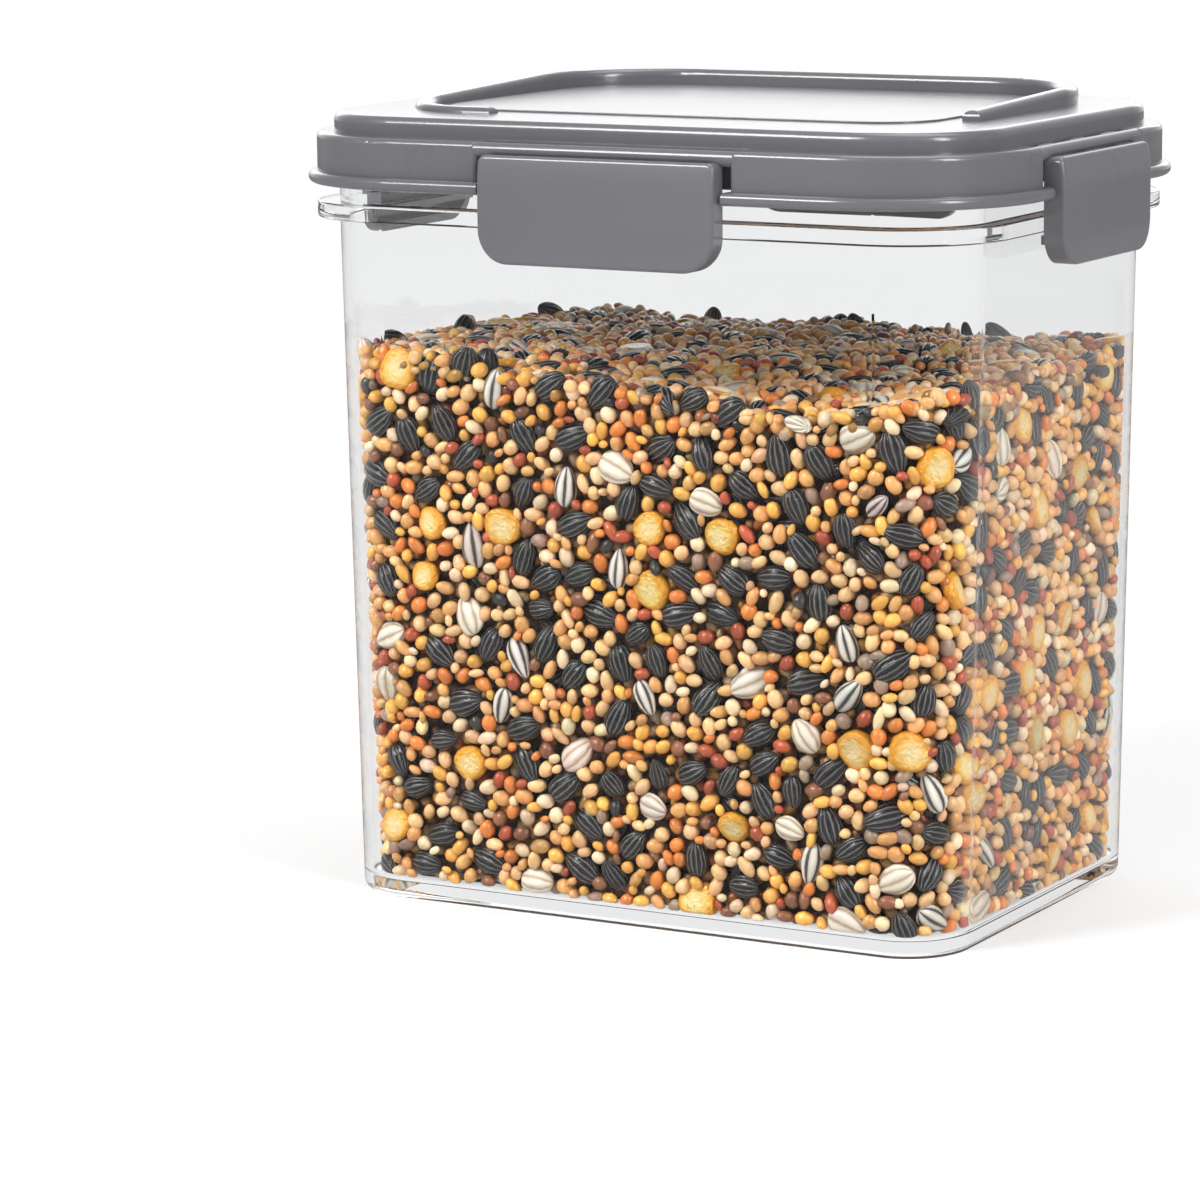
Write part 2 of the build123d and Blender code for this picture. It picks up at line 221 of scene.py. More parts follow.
def add_world():
    world = bpy.data.worlds.new("studio")
    bpy.context.scene.world = world
    world.use_nodes = True
    tree = world.node_tree
    tree.nodes.clear()
    way = add_node(tree, "ShaderNodeTexCoord").outputs["Generated"]
    both = {0: way, 1: BACKDROP_SIDE}
    towards = add_node(tree, "ShaderNodeVectorMath", both, operation="DOT_PRODUCT")
    span = {
        "Value": towards.outputs["Value"],
        "From Min": WHITE_FROM - WHITE_FADE,
        "From Max": WHITE_FROM,
        "To Min": ROOM_DARK,
    }
    mirrored = add_node(tree, "ShaderNodeMapRange", span).outputs["Result"]
    bent = add_node(tree, "ShaderNodeMapRange", {**span, "To Min": ROOM_BENT}).outputs["Result"]
    path = add_node(tree, "ShaderNodeLightPath").outputs
    depth = {0: path["Glossy Depth"], 1: MOST_MIRRORINGS}
    trapped = add_node(tree, "ShaderNodeMath", depth, operation="GREATER_THAN").outputs[0]
    rays = [
        (path["Is Glossy Ray"], mirrored),
        (trapped, bent),
        (path["Is Transmission Ray"], bent),
        (path["Is Camera Ray"], 1.0),
    ]
    shader = plain_light(tree, ROOM_LIGHT)
    for seen, strength in rays:
        either = {"Fac": seen, 1: shader, 2: plain_light(tree, strength)}
        shader = add_node(tree, "ShaderNodeMixShader", either).outputs[0]
    add_node(tree, "ShaderNodeOutputWorld", {"Surface": shader})


add_world()
print("room is", ROOM_LIGHT, "bright")

# %% [markdown]
# The floor is white as well, and keeps the soft shadow under the tub. Part of its
# whiteness is its own glow, which only the camera and clear plastic see, so that it meets
# the backdrop without a line and throws no extra light on the object. Glossy surfaces
# mirror a darker floor, because a white one would lay a pale veil over the seed.

# %% Floor
FLOOR_SIZE = 6.0  # metres
FLOOR_WHITE = 0.93
FLOOR_MIRRORED = 0.25
FLOOR_GLOW = 0.4  # beside the tub
GLOW_NEAR = 0.15  # within this distance the glow is least
GLOW_FAR = 0.75  # and from here on the floor is as white as the backdrop
GLOW_BENT = 0.85  # as clear plastic shows it
STAGE_Z = -0.0003  # a hair under the foot, so that light can pass between them


def floor_white():
    material, shader = recipe("floor_white", Roughness=0.9)
    shader.inputs["Specular IOR Level"].default_value = 0.0
    path = node(material, "ShaderNodeLightPath").outputs
    shades = [(0.0, (FLOOR_WHITE,) * 3), (1.0, (FLOOR_MIRRORED,) * 3)]
    join(material, ramp(material, path["Is Glossy Ray"], shades), shader.inputs["Base Color"])
    glow = node(material, "ShaderNodeEmission", {"Strength": 1.0})
    distance = length_of(material, place_on(material))
    fade = {"Value": distance, "From Min": GLOW_NEAR, "From Max": GLOW_FAR, "To Min": FLOOR_GLOW}
    glowing = node(material, "ShaderNodeMapRange", fade).outputs["Result"]
    direct = maths(material, "MULTIPLY", path["Is Camera Ray"], glowing)
    trapped = maths(material, "GREATER_THAN", path["Glossy Depth"], MOST_MIRRORINGS)
    through = maths(material, "MAXIMUM", path["Is Transmission Ray"], trapped)
    bent = maths(material, "MULTIPLY", through, GLOW_BENT)
    share = maths(material, "MAXIMUM", direct, bent)
    blend(material, share, shader.outputs[0], glow.outputs[0])
    return material


def add_floor():
    half = FLOOR_SIZE / 2
    mesh = bpy.data.meshes.new("floor")
    corners = [(x * half, y * half, STAGE_Z) for x, y in ((-1, -1), (1, -1), (1, 1), (-1, 1))]
    mesh.from_pydata(corners, [], [(0, 1, 2, 3)])
    mesh.materials.append(floor_white())
    floor = bpy.data.objects.new("floor", mesh)
    bpy.context.collection.objects.link(floor)


add_floor()
print("floor is", FLOOR_SIZE, "m wide")

# %% [markdown]
# Four soft boxes light the object. The key hangs at the left in front, the fill at the
# right, and the top one is broad. The low one behind is what the flat lid mirrors: at such
# a shallow angle even grey plastic turns nearly white. Each lamp has its place and size
# in metres and its power in watts.

# %% Lamps
LAMPS = {
    "key": ((-0.75, -1.3, 1.25), (0.5, 0.7), 21.0),
    "fill": ((1.3, -0.5, 0.8), (0.3, 0.9), 11.0),
    "top": ((0.1, 0.3, 1.6), (1.2, 0.8), 8.0),
    "behind": ((-0.74, 1.31, 0.62), (1.7, 0.5), 4.0),
}
LAMP_AIM = Vector((0, 0, 0.11))


def add_lamp(name, place, size, power):
    data = bpy.data.lights.new(name, "AREA")
    data.shape = "RECTANGLE"
    data.size, data.size_y = size
    data.energy = power
    lamp = bpy.data.objects.new(name, data)
    lamp.location = place
    lamp.rotation_euler = (LAMP_AIM - Vector(place)).to_track_quat("-Z", "Y").to_euler()
    bpy.context.collection.objects.link(lamp)


for lamp_name, lamp in LAMPS.items():
    add_lamp(lamp_name, *lamp)
bpy.context.scene.view_settings.view_transform = "Standard"
print(len(LAMPS), "soft boxes")

# %% [markdown]
# The lid and the latches are moulded in one mid-grey plastic. A mould leaves a gloss that
# is never quite even, so slow noise shifts the roughness a little, and a very fine grain
# keeps highlights from looking like glass. A coat adds the mirror that shows at shallow
# angles.

# %% Grey moulded plastic
GREY_DARK = (0.128, 0.128, 0.14)
GREY_LIGHT = (0.142, 0.142, 0.155)
GREY_ROUGHNESS = (0.24, 0.34)
GREY_IOR = 1.5
FLOW_SCALE = 16.0  # waves of the slow noise in a metre
TOOTH_SCALE = 1800.0  # and of the fine grain
TOOTH_HEIGHT = 0.00005
TOOTH_STRENGTH = 0.04


def grey_plastic():
    material, shader = recipe("grey_plastic", IOR=GREY_IOR, Coat_Weight=0.6, Coat_Roughness=0.11)
    shader.inputs["Coat IOR"].default_value = GREY_IOR
    place = place_on(material)
    flow = noise(material, place, FLOW_SCALE)
    join(material, remap(material, flow, *GREY_ROUGHNESS), shader.inputs["Roughness"])
    shade = ramp(material, flow, [(0.3, GREY_DARK), (0.7, GREY_LIGHT)])
    join(material, shade, shader.inputs["Base Color"])
    tooth = noise(material, place, TOOTH_SCALE)
    emboss(material, shader, tooth, TOOTH_STRENGTH, TOOTH_HEIGHT)
    return material


grey = grey_plastic()
for grey_node in ("lid_cover", "latch_front", "latch_back", "latch_left", "latch_right"):
    dress(grey_node, grey)
print("grey plastic on the lid and the latches")

# %% [markdown]
# The tub is clear and hard. It bends light as acrylic does, and lamps have to reach the
# seed through it, so shadow rays pass straight through. Faint flow marks from the mould
# break up its reflections. The photograph shows hardly any glare on the walls, so their
# mirror is turned down where it is seen head on, and stays full at shallow angles.

# %% Clear tub
CLEAR_COLOUR = (0.985, 0.99, 0.993, 1)
CLEAR_ROUGHNESS = 0.015
CLEAR_IOR = 1.49
CLEAR_SHEEN = 0.12  # 0.5 is the full sheen of such plastic
CLEAR_GLARE = (0.2, 0.2, 0.2, 1)  # the share of the mirror that is left head on
SHADOW_COLOUR = (0.97, 0.975, 0.98, 1)  # of light that has passed through
MARKS_SCALE = 22.0
MARKS_HEIGHT = 0.0004
MARKS_STRENGTH = 0.05


def clear_plastic():
    material, shader = recipe("clear_plastic", Base_Color=CLEAR_COLOUR, Roughness=CLEAR_ROUGHNESS)
    shader.inputs["IOR"].default_value = CLEAR_IOR
    shader.inputs["Specular IOR Level"].default_value = CLEAR_SHEEN
    shader.inputs["Specular Tint"].default_value = CLEAR_GLARE
    shader.inputs["Transmission Weight"].default_value = 1.0
    marks = noise(material, place_on(material), MARKS_SCALE)
    emboss(material, shader, marks, MARKS_STRENGTH, MARKS_HEIGHT)
    through = node(material, "ShaderNodeBsdfTransparent", {"Color": SHADOW_COLOUR})
    path = node(material, "ShaderNodeLightPath").outputs
    trapped = maths(material, "GREATER_THAN", path["Glossy Depth"], MOST_MIRRORINGS)
    straight = maths(material, "MAXIMUM", path["Is Shadow Ray"], trapped)
    blend(material, straight, shader.outputs[0], through.outputs[0])
    return material


dress("container_body", clear_plastic())
print("clear plastic on the tub")

# %% [markdown]
# The seal is soft silicone, a pale milky white. A little light enters it, and dust makes
# its sheen uneven.

# %% Seal
MILKY_WHITE = (0.78, 0.79, 0.8, 1)
LIGHT_REACH = 0.002  # metres that light travels inside
DUST_SCALE = 300.0
SEAL_ROUGHNESS = (0.38, 0.55)


def silicone():
    material, shader = recipe("silicone", Base_Color=MILKY_WHITE)
    shader.inputs["Subsurface Weight"].default_value = 0.3
    shader.inputs["Subsurface Scale"].default_value = LIGHT_REACH
    dust = noise(material, place_on(material), DUST_SCALE, detail=4.0)
    join(material, remap(material, dust, *SEAL_ROUGHNESS), shader.inputs["Roughness"])
    return material


dress("gasket", silicone())
print("silicone on the seal")

# %% [markdown]
# Now the seed. Real seed could be poured in by simulation, but only the outermost layers
# are ever seen, so they are laid directly: seeds are dropped at random places along the
# walls and over the top, the big ones first, and each one is kept only where it finds
# room. Everything here is in millimetres until the meshes are made.
#
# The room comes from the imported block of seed: its half width and depth at the level of
# its top, its floor, and the lean of the walls.

# %% Room for the seed
seed_low, seed_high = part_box("seed_fill")
HALF_WIDTH = (seed_high.x - seed_low.x) / 2 / MM
HALF_DEPTH = (seed_high.y - seed_low.y) / 2 / MM
FLOOR_Z = seed_low.z / MM
LEVEL_Z = seed_high.z / MM
WALL_LEAN = math.tan(math.radians(1.06))
CORNER_R = 18.7  # of the room, at the level of the seed
FOOT_R = 2.5  # where the walls meet the floor
SKIN = 0.03  # seeds stay this far off the plastic
MIDDLE = np.array([HALF_WIDTH - CORNER_R, HALF_DEPTH - CORNER_R])


def keep_inside(points):
    """Pushes points that are past the tub's inner wall or floor back inside."""
    points[:, 2] = np.maximum(points[:, 2], FLOOR_Z + SKIN)
    over_foot = np.clip(FOOT_R - (points[:, 2] - FLOOR_Z), 0, FOOT_R)
    inset = (LEVEL_Z - points[:, 2]) * WALL_LEAN + FOOT_R - np.sqrt(FOOT_R**2 - over_foot**2)
    out = np.maximum(np.abs(points[:, :2]) - MIDDLE, 0)
    reach = np.linalg.norm(out, axis=1)
    excess = np.maximum(reach - (CORNER_R - inset - SKIN), 0)
    shift = out * (excess / np.maximum(reach, SKIN))[:, None]
    points[:, :2] -= np.sign(points[:, :2]) * shift
    return points


print("seed fills", round(2 * HALF_WIDTH), "by", round(2 * HALF_DEPTH), "mm")

# %% [markdown]
# A place on the wall is given by how far round it is, and its height. The outline of the
# room is walked once, corner by corner, and looked up from then on. The top of the seed
# is a gentle heap: it dips to the right of the middle of the front.

# %% Walls and top of the seed
CORNER_STEPS = 40
HEAP_X = (-92, -63, -7, 51, 92)
HEAP_FRONT = (152.0, 151.6, 145.9, 141.8, 147.5)  # heights along the front wall
HEAP_BACK = 149.5
BROAD_WAVE = 0.9  # the top rises and falls by this much over a few centimetres
SHORT_WAVE = 0.5  # and by this much over shorter stretches


def outline():
    """Places round the room seen from above, with the directions that face out."""
    places, facings = [], []
    for side_x, side_y, first in ((1, -1, -90), (1, 1, 0), (-1, 1, 90), (-1, -1, 180)):
        angle = np.radians(first + np.linspace(0, 90, CORNER_STEPS))
        facing = np.stack([np.cos(angle), np.sin(angle)], axis=1)
        places.append(MIDDLE * (side_x, side_y) + CORNER_R * facing)
        facings.append(facing)
    places.append(places[0][:1])
    facings.append(facings[0][:1])
    return np.concatenate(places), np.concatenate(facings)


PLACES, FACINGS = outline()
RUN = np.concatenate([[0], np.cumsum(np.linalg.norm(np.diff(PLACES, axis=0), axis=1))])


def heap(x, y):
    """Height of the seed's top."""
    front = np.interp(x, HEAP_X, HEAP_FRONT)
    share = np.clip((y + HALF_DEPTH) / (2 * HALF_DEPTH), 0, 1)
    share = share * share * (3 - 2 * share)
    broad = BROAD_WAVE * np.sin(x / 13 + 1) * np.cos(y / 10)
    lumps = broad + SHORT_WAVE * np.sin(x / 6 + y / 8)
    return front + share * (HEAP_BACK - front) + lumps


def on_wall(run, z):
    """Place and outward direction on the wall, run millimetres round and z high."""
    spot = [np.interp(run, RUN, PLACES[:, axis]) for axis in (0, 1)]
    facing = [np.interp(run, RUN, FACINGS[:, axis]) for axis in (0, 1)]
    lean = 1 - (LEVEL_Z - z) * WALL_LEAN / HALF_DEPTH
    return (spot[0] * lean, spot[1] * lean, z), (facing[0], facing[1], 0.0)


print("the room is", round(RUN[-1]), "mm round")

# %% [markdown]
# The mix follows the front wall of the photograph, and its shares were set: black
# sunflower seeds lead, then corn, pale seeds and a few striped ones, all among small
# millet and milo grains in creams, oranges and brick reds. Each kind has its half length,
# half width and half thickness, and its share of a hundred tries with a big seed.

# %% The mix
KINDS = {
    "sunflower": {"half": (5.0, 3.35, 2.2), "share": 60},
    "striped": {"half": (5.4, 3.0, 2.1), "share": 4},
    "pale": {"half": (5.2, 3.9, 2.0), "share": 15},
    "corn": {"half": (5.0, 4.7, 2.0), "share": 21},
}
GRAIN_TONES = [
    ((0.82, 0.50, 0.23), 26),
    ((0.72, 0.36, 0.12), 20),
    ((0.84, 0.63, 0.39), 12),
    ((0.82, 0.42, 0.08), 16),
    ((0.72, 0.22, 0.04), 9),
    ((0.42, 0.08, 0.03), 8),
    ((0.25, 0.10, 0.045), 4),
    ((0.34, 0.23, 0.16), 4),
    ((0.03, 0.027, 0.025), 1),
]
SPREAD_TRIES = 2200
CLOSE_TRIES = 1500
GRAIN_TRIES = 90000
DEEP_TRIES = 25000
GRAIN_R = (2.15, 1.2)  # the first tries are large, the last ones small
GRAIN_R_SPREAD = 0.08
FIRST_Z = 1.5  # height of the lowest seeds over the floor
EDGE_GAP = 1.0  # between the seeds on the walls and those on top
CELL = 10.5  # seeds look for their neighbours in cells of this size
rng = np.random.default_rng(11)


def cell_of(spot):
    return tuple(int(math.floor(value / CELL)) for value in spot)


def finds_room(taken, spot, radius, closeness):
    """Whether a disc has room among those that are already down."""
    home = cell_of(spot)
    for dx in (-1, 0, 1):
        for dy in (-1, 0, 1):
            for dz in (-1, 0, 1):
                for other, other_r in taken.get((home[0] + dx, home[1] + dy, home[2] + dz), ()):
                    if math.dist(spot, other) < closeness * (radius + other_r):
                        return False
    return True


def direction_along(facing):
    """A random direction that lies in the surface."""
    facing = np.array(facing)
    along = rng.normal(size=3)
    along -= facing * np.dot(along, facing)
    return along / np.linalg.norm(along)


def discs_of(kind, spot, along, radius):
    """The discs that a seed covers: one for a grain, and three in a row for a big seed."""
    if kind == "grain":
        return [(spot, radius)]
    length, width, _ = KINDS[kind]["half"]
    steps = (0, -1, 1)
    return [(tuple(np.array(spot) + step * (length - width) * along), width) for step in steps]


def pick_spot():
    """A random place on a wall or on top, by their areas."""
    wall_area = RUN[-1] * (LEVEL_Z - FLOOR_Z)
    top_area = 4 * HALF_WIDTH * HALF_DEPTH
    if rng.random() * (wall_area + top_area) < wall_area:
        run = rng.random() * RUN[-1]
        z = FLOOR_Z + FIRST_Z + rng.random() * (LEVEL_Z - FLOOR_Z)
        spot, facing = on_wall(run, z)
        return (spot, facing) if z < heap(spot[0], spot[1]) - EDGE_GAP else (None, None)
    x, y = (rng.random(2) * 2 - 1) * (HALF_WIDTH - EDGE_GAP, HALF_DEPTH - EDGE_GAP)
    out = np.maximum(np.abs((x, y)) - MIDDLE, 0)
    if np.hypot(*out) > CORNER_R - EDGE_GAP:
        return None, None
    return (x, y, float(heap(x, y))), (0.0, 0.0, 1.0)


print("mix of", len(KINDS), "big kinds and", len(GRAIN_TONES), "tones of grain")

# %% [markdown]
# A layer is laid from big to small, so the grains end up in the gaps, as they do when a
# tub is shaken. The second layer lies a little deeper and only shows between the seeds
# of the first.

# %% Lay the seed


def lay(tries, closeness, taken, kinds):
    """Rows of (kind, place, outward direction, direction along, radius) that found room."""
    rows = []
    names = list(kinds)
    odds = np.array([kinds[name] for name in names], float)
    picks = rng.choice(len(names), size=tries, p=odds / odds.sum())
    for number in range(tries):
        spot, facing = pick_spot()
        if spot is None:
            continue
        kind = names[picks[number]]
        along = direction_along(facing)
        radius = GRAIN_R[0] + (GRAIN_R[1] - GRAIN_R[0]) * number / tries
        radius += rng.normal(0, GRAIN_R_SPREAD)
        discs = discs_of(kind, spot, along, radius)
        if all(finds_room(taken, *disc, closeness) for disc in discs):
            for disc in discs:
                taken.setdefault(cell_of(disc[0]), []).append(disc)
            rows.append((kind, spot, facing, along, radius))
    return rows


BIG_SHARES = {name: kind["share"] for name, kind in KINDS.items()}
DEEP_SHARES = {"grain": 4, "sunflower": 1}
SPREAD_OUT = 1.55  # most big seeds stand this much further apart than if they touched
SIDE_BY_SIDE = 1.0  # the others only have to fit
PACKED = 0.87  # grains reach a little over and under each other
front_taken, deep_taken = {}, {}
big_rows = lay(SPREAD_TRIES, SPREAD_OUT, front_taken, BIG_SHARES)
big_rows += lay(CLOSE_TRIES, SIDE_BY_SIDE, front_taken, BIG_SHARES)
grain_rows = lay(GRAIN_TRIES, PACKED, front_taken, {"grain": 1})
deep_rows = lay(DEEP_TRIES, PACKED, deep_taken, DEEP_SHARES)
print(len(big_rows), "big seeds,", len(grain_rows), "grains,", len(deep_rows), "deeper down")

# %% [markdown]
# Every kind of seed is one small pattern mesh that is copied with its own size, turn and
# unevenness. A ball with its poles at the ends of the seed is bent into each shape: the
# hull of a sunflower seed has ridges and a pointed end, corn is a flat disc with a dent,
# and a grain is a plain oval. Every second line of a hull's mesh is raised, so the mesh
# has twice as many lines as the hull has ridges.

# %% Pattern shapes
HULL_RIDGES = 13
CORN_POWERS = (0.9, 0.9, 0.3)  # powers below 1 make a ball squarer, and the last one flat
CORN_DENT = 0.3
CORN_DENT_X = 0.2
CORN_DENT_SPREAD = 0.15
CORN_TAPER = 0.12


def ball(rings, around):
    """Places on a unit ball with its poles on X, and its faces."""
    height = np.linspace(0, np.pi, rings + 1)[1:-1]
    turn = np.arange(around) * 2 * np.pi / around
    circle = np.stack([np.zeros(around), np.cos(turn), np.sin(turn)], axis=1)
    ring = [(np.cos(h), 0, 0) + np.sin(h) * circle for h in height]
    places = np.concatenate([[(1, 0, 0)], *ring, [(-1, 0, 0)]])
    last = len(places) - 1
    faces = []
    for j in range(around):
        k = (j + 1) % around
        faces.append((0, 1 + j, 1 + k))
        faces.append((last, last - around + k, last - around + j))
        for i in range(rings - 2):
            low = 1 + i * around
            faces.append((low + j, low + around + j, low + around + k, low + k))
    return places, faces


def hull_shape(unit, ridge, point):
    """A ridged hull, narrower towards one end."""
    shaped = unit.copy()
    ridges = 1 + ridge * np.where((np.arange(len(unit)) - 1) % 2 == 0, 1, -1)
    ridges[0] = ridges[-1] = 1
    taper = 1 - point * unit[:, 0]
    shaped[:, 1] *= taper * ridges
    shaped[:, 2] *= taper * ridges
    return shaped


def corn_shape(unit):
    """A flat disc with a dent near its middle."""
    shaped = np.sign(unit) * np.abs(unit) ** CORN_POWERS
    middle = np.exp(-((unit[:, 0] - CORN_DENT_X) ** 2 + unit[:, 1] ** 2) / CORN_DENT_SPREAD)
    shaped[:, 2] *= 1 - CORN_DENT * middle
    shaped[:, 1] *= 1 - CORN_TAPER * unit[:, 0]
    return shaped


hull_unit, hull_faces = ball(11, 2 * HULL_RIDGES)
corn_unit, corn_faces = ball(10, 16)
grain_unit, grain_faces = ball(7, 10)
deep_unit, deep_faces = ball(5, 8)
PATTERNS = {
    "sunflower": (hull_unit, hull_shape(hull_unit, 0.035, 0.16), hull_faces),
    "striped": (hull_unit, hull_shape(hull_unit, 0.03, 0.2), hull_faces),
    "pale": (hull_unit, hull_shape(hull_unit, 0.02, 0.14), hull_faces),
    "corn": (corn_unit, corn_shape(corn_unit), corn_faces),
    "grain": (grain_unit, grain_unit, grain_faces),
}
print("faces per grain", len(grain_faces), "and per hull", len(hull_faces))

# %% [markdown]
# A seed lies flat against the wall, with its thin side facing out, turned any way and
# tilted a little. It is moved inwards until it touches the wall, or stands a hair off it.
# Seeds that cross a round corner are pressed to it.

# %% Turn and place the seeds
UNEVENNESS = 0.05  # share of its size by which a seed's skin is uneven
UNEVEN_WAVES = 2.6
ANY_PHASE = 6.28  # radians


def turned(facings, alongs, tilt):
    """Three directions per seed: its length, its width and its thickness."""
    thick = facings + tilt * rng.normal(size=facings.shape)
    thick /= np.linalg.norm(thick, axis=1)[:, None]
    long = alongs - thick * np.sum(alongs * thick, axis=1)[:, None]
    long /= np.linalg.norm(long, axis=1)[:, None]
    return long, np.cross(thick, long), thick


def placed(pattern, spots, facings, alongs, halves, tilt, deeper):
    """Every vertex of every seed in its place, in millimetres."""
    shaped = pattern[1]
    axes = turned(facings, alongs, tilt)
    stand = np.zeros(len(spots))
    for axis, half in zip(axes, halves.T):
        stand += (half * np.sum(axis * facings, axis=1)) ** 2
    centres = spots - facings * (np.sqrt(stand) + deeper)[:, None]
    phase = rng.random((len(spots), 1, 3)) * ANY_PHASE
    uneven = 1 + UNEVENNESS * np.sin(UNEVEN_WAVES * shaped[None, :, [1, 2, 0]] + phase)
    local = shaped[None] * uneven * halves[:, None, :]
    points = centres[:, None, :]
    for number, axis in enumerate(axes):
        points = points + local[:, :, number : number + 1] * axis[:, None, :]
    return keep_inside(points.reshape(-1, 3))


def merged(name, pattern, points, tones):
    """One mesh of many seeds. Each vertex knows its seed's tone and its place on the seed."""
    count = len(tones)
    unit, _, faces = pattern
    totals = np.tile([len(face) for face in faces], count)
    starts = np.concatenate([[0], np.cumsum(totals)[:-1]])
    corners = np.concatenate([np.array(face) for face in faces])
    corners = (corners[None] + np.arange(count)[:, None] * len(unit)).ravel()
    mesh = bpy.data.meshes.new(name)
    mesh.vertices.add(len(points))
    mesh.vertices.foreach_set("co", (points * MM).astype(np.float32).ravel())
    mesh.loops.add(len(corners))
    mesh.loops.foreach_set("vertex_index", corners.astype(np.int32))
    mesh.polygons.add(len(totals))
    mesh.polygons.foreach_set("loop_start", starts.astype(np.int32))
    mesh.update(calc_edges=True)
    tone = mesh.attributes.new("tone", "FLOAT_COLOR", "POINT")
    every_tone = np.repeat(tones, len(unit), axis=0)
    tone.data.foreach_set("color", every_tone.astype(np.float32).ravel())
    place = mesh.attributes.new("place", "FLOAT_VECTOR", "POINT")
    every_place = np.tile(unit, (count, 1))
    place.data.foreach_set("vector", every_place.astype(np.float32).ravel())
    mesh.polygons.foreach_set("use_smooth", np.ones(len(totals), bool))
    mesh.validate()
    return mesh


print("seeds can be placed")

# %% [markdown]
# The finishes read the two values that each vertex carries. The angle round the seed
# makes the fine lines of a hull and the stripes of a striped seed run from tip to tip. A
# corn's paler heart comes from the distance to its middle. The colours of a ramp are
# written from its start to its end, each with its place.

# %% Finishes of the seeds
SEED_IOR = 1.48
LINE_WANDER_SCALE = 2.5
LINE_HEIGHT = 0.0003
CORN_SPREAD = 1.3  # from a corn's heart to where its colour is deepest
CORN_WANDER = 0.7  # and how unevenly it gets there
CORN_COLOURS = [(0.5, (0.8, 0.6, 0.27)), (0.74, (0.8, 0.47, 0.1)), (0.93, (0.72, 0.31, 0.02))]
CREASE_HEIGHT = 0.0012
MOTTLE_SCALE = 420.0
MOTTLE_COLOURS = [(0.3, (0.8, 0.76, 0.72)), (0.65, (1.0, 1.0, 1.0))]
SKIN_SCALE = 900.0
SKIN_HEIGHT = 0.0002


def seed_basis(name, roughness):
    """A material, with its shader, the seed's own tone, and the place on the seed."""
    material, shader = recipe(name, Roughness=roughness, IOR=SEED_IOR)
    tone = node(material, "ShaderNodeAttribute", attribute_name="tone")
    place = node(material, "ShaderNodeAttribute", attribute_name="place")
    return material, shader, tone, place.outputs["Vector"]


def lines_round(material, place, count, wander):
    """Waves from 0 to 1 that run from tip to tip, count of them round the seed."""
    parts = node(material, "ShaderNodeSeparateXYZ", {"Vector": place})
    angle = maths(material, "ARCTAN2", parts.outputs["Z"], parts.outputs["Y"])
    shift = maths(material, "MULTIPLY", noise(material, place, LINE_WANDER_SCALE), wander)
    turns = maths(material, "ADD", maths(material, "MULTIPLY", angle, count), shift)
    waves = maths(material, "SINE", turns)
    return maths(material, "ADD", maths(material, "MULTIPLY", waves, 0.5), 0.5)


def tint(material, shader, colour, tone):
    """Gives the shader a colour, multiplied by the seed's own tone."""
    both = {0: colour, 1: tone.outputs["Color"]}
    mixed = node(material, "ShaderNodeVectorMath", both, operation="MULTIPLY")
    join(material, mixed.outputs["Vector"], shader.inputs["Base Color"])


def hull(name, count, stops, roughness, wander):
    """A lined hull: its colours run from the bottom of a line to its top."""
    material, shader, tone, place = seed_basis(name, roughness)
    lines = lines_round(material, place, count, wander)
    tint(material, shader, ramp(material, lines, stops), tone)
    emboss(material, shader, lines, 0.6, LINE_HEIGHT)
    return material


def corn():
    material, shader, tone, place = seed_basis("corn", 0.3)
    flat = node(material, "ShaderNodeVectorMath", {0: place, 1: (1, 1, 0)}, operation="MULTIPLY")
    middle = length_of(material, flat.outputs[0])
    uneven = maths(material, "MULTIPLY", noise(material, place, 2.2, 3.0), CORN_WANDER)
    spread = maths(material, "DIVIDE", maths(material, "ADD", middle, uneven), CORN_SPREAD)
    tint(material, shader, ramp(material, spread, CORN_COLOURS), tone)
    shader.inputs["Coat Weight"].default_value = 0.2
    emboss(material, shader, noise(material, place, 3.0), 0.8, CREASE_HEIGHT)
    return material


def grain():
    material, shader, tone, _ = seed_basis("grain", 0.34)
    place = place_on(material)
    patches = noise(material, place, MOTTLE_SCALE, 3.0)
    tint(material, shader, ramp(material, patches, MOTTLE_COLOURS), tone)
    shader.inputs["Coat Weight"].default_value = 0.25
    emboss(material, shader, noise(material, place, SKIN_SCALE), 0.15, SKIN_HEIGHT)
    return material


FINISHES = {
    "sunflower": hull(
        "sunflower",
        HULL_RIDGES,
        # the light tops of the lines are partly the hull's faint grey stripes and partly a painted
        # highlight on its ridges
        [(0.1, (0.006, 0.006, 0.007)), (0.7, (0.02, 0.02, 0.022)), (0.97, (0.13, 0.12, 0.11))],
        0.27,
        3.0,
    ),
    "striped": hull(
        "striped",
        6,
        [(0.08, (0.05, 0.045, 0.04)), (0.3, (0.5, 0.45, 0.38)), (1.0, (0.7, 0.66, 0.58))],
        0.42,
        1.0,
    ),
    "pale": hull(
        "pale",
        7,
        [(0.0, (0.4, 0.3, 0.2)), (0.3, (0.66, 0.57, 0.44)), (1.0, (0.76, 0.69, 0.57))],
        0.45,
        2.0,
    ),
    "corn": corn(),
    "grain": grain(),
}
print("finishes:", sorted(FINISHES))
